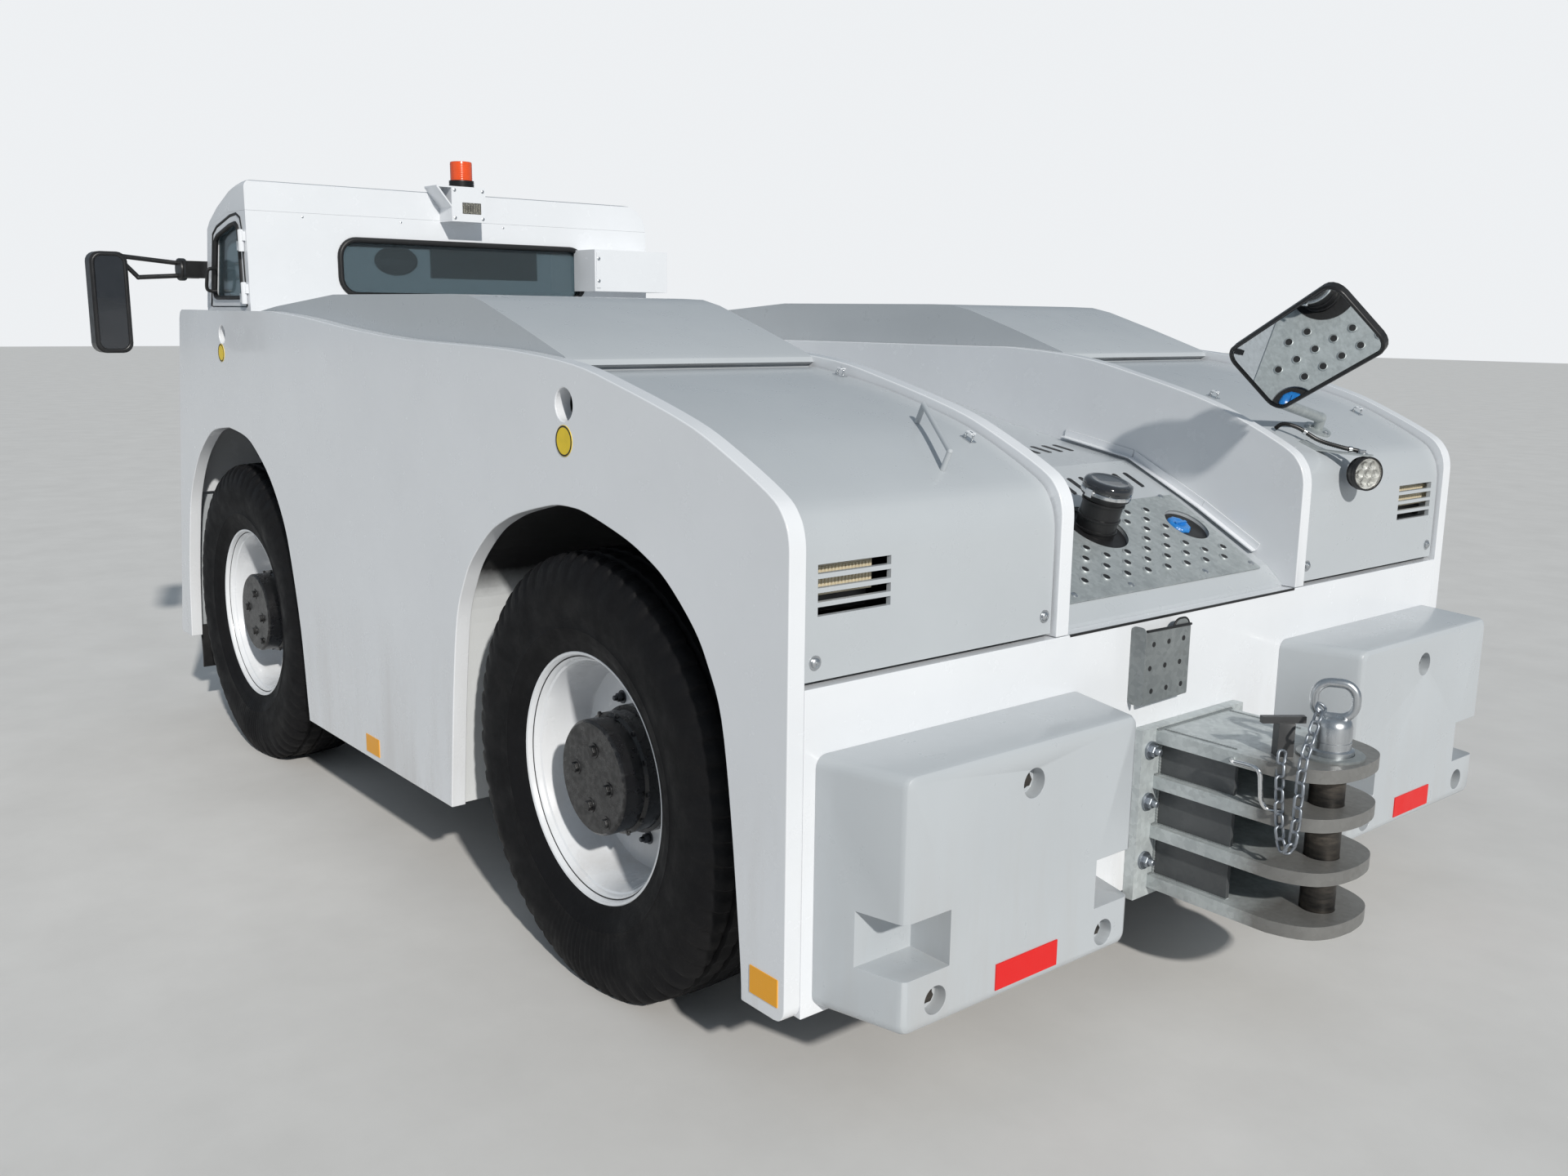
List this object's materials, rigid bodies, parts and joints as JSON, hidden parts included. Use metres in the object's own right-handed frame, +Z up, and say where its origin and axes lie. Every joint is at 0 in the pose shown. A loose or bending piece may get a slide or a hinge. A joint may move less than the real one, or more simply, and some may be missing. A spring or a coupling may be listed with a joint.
{
  "type": "aircraft pushback tractor",
  "caption": "Low airport pushback tractor with thick slab side plates, offset cab, humped hoods, central walkway and multi-level rear tow hitch.",
  "frame": {"origin": "bottom centre of the bounding box, on the ground", "axes": "+X forward to the cab end, +Y to the vehicle's left, +Z up"},
  "size_m": [4.4462, 2.73, 2.0613],
  "materials": {
    "white_paint": "gloss",
    "grey_paint": "satin",
    "black_paint": "satin",
    "galvanised": "matte",
    "tyre": "matte",
    "black_plastic": "matte",
    "glass": "gloss",
    "lens": "gloss",
    "amber": "gloss",
    "blue_plastic": "gloss"
  },
  "bodies": {
    "body": {"chassis": "black_paint", "side_plate_left": "white_paint", "side_plate_right": "white_paint", "inner_plates": "white_paint", "rear_plate": "white_paint", "front_fascia": "white_paint", "front_weight": "grey_paint", "front_hitch": "galvanised", "channel_floor": "grey_paint", "tread_plate": "galvanised", "tank": "black_paint", "filler_black": "black_plastic", "filler_blue": "blue_plastic", "hump_left": "grey_paint", "hump_right": "grey_paint", "rear_weights": "grey_paint", "bracket": "galvanised", "rear_hitch": "galvanised", "arches_left": "white_paint", "arches_right": "white_paint", "engine": "black_paint", "axle_front": "black_paint", "axle_rear": "black_paint", "cab_shell": "white_paint", "cab_roof": "white_paint", "cab_glass": "glass", "seat": "black_plastic", "steering_wheel": "black_plastic", "beacon_stand": "white_paint", "beacon": "amber", "rear_lamps": "lens", "head_lamps": "lens", "mirror_left": "black_plastic"},
    "steer_left": {"knuckle_left": "black_paint"},
    "steer_right": {"knuckle_right": "black_paint"},
    "roll_fl": {"wheel_fl": "white_paint", "tyre_fl": "tyre", "hub_fl": "black_paint"},
    "roll_fr": {"wheel_fr": "white_paint", "tyre_fr": "tyre", "hub_fr": "black_paint"},
    "roll_rl": {"wheel_rl": "white_paint", "tyre_rl": "tyre", "hub_rl": "black_paint"},
    "roll_rr": {"wheel_rr": "white_paint", "tyre_rr": "tyre", "hub_rr": "black_paint"},
    "lid_left": {"hood_left": "grey_paint", "hood_handle": "grey_paint"},
    "lid_right": {"hood_right": "grey_paint", "hitch_mirror": "black_plastic", "work_lamp": "black_plastic", "lid_brackets": "galvanised"},
    "door": {"cab_door": "white_paint", "door_glass": "glass"},
    "pin_rear": {"rear_pin": "black_paint"},
    "pin_front": {"front_pin": "black_paint"}
  },
  "joints": [
    {"name": "steer_left_turn", "type": "hinge", "parent": "body", "child": "steer_left", "pos_m": [1.21691, 0.717, 0.5], "axis": [0, 0, 1], "range_deg": [-25, 25]},
    {"name": "steer_right_turn", "type": "hinge", "parent": "body", "child": "steer_right", "pos_m": [1.21691, -1.007, 0.5], "axis": [0, 0, 1], "range_deg": [-25, 25]},
    {"name": "spin_fl", "type": "hinge", "parent": "steer_left", "child": "roll_fl", "pos_m": [1.21691, 0.918, 0.5], "axis": [0, 1, 0], "continuous": true},
    {"name": "spin_fr", "type": "hinge", "parent": "steer_right", "child": "roll_fr", "pos_m": [1.21691, -1.208, 0.5], "axis": [0, 1, 0], "continuous": true},
    {"name": "spin_rl", "type": "hinge", "parent": "body", "child": "roll_rl", "pos_m": [-1.00809, 0.918, 0.5], "axis": [0, 1, 0], "continuous": true},
    {"name": "spin_rr", "type": "hinge", "parent": "body", "child": "roll_rr", "pos_m": [-1.00809, -1.208, 0.5], "axis": [0, 1, 0], "continuous": true},
    {"name": "lid_left_lift", "type": "hinge", "parent": "body", "child": "lid_left", "pos_m": [-0.97009, 0.6875, 1.39], "axis": [0, 1, 0], "range_deg": [0, 45]},
    {"name": "lid_right_lift", "type": "hinge", "parent": "body", "child": "lid_right", "pos_m": [-0.97009, -0.9775, 1.39], "axis": [0, 1, 0], "range_deg": [0, 45]},
    {"name": "door_swing", "type": "hinge", "parent": "body", "child": "door", "pos_m": [1.16791, 1.005, 1.693], "axis": [0, 0, 1], "range_deg": [0, 90]},
    {"name": "rear_pin_lift", "type": "slide", "parent": "body", "child": "pin_rear", "axis": [0, 0, 1], "range_m": [0, 0.45]},
    {"name": "front_pin_lift", "type": "slide", "parent": "body", "child": "pin_front", "axis": [0, 0, 1], "range_m": [0, 0.25]}
  ],
  "couplings": [
    {"joint": "steer_right_turn", "follows": "steer_left_turn", "ratio": 1}
  ]
}
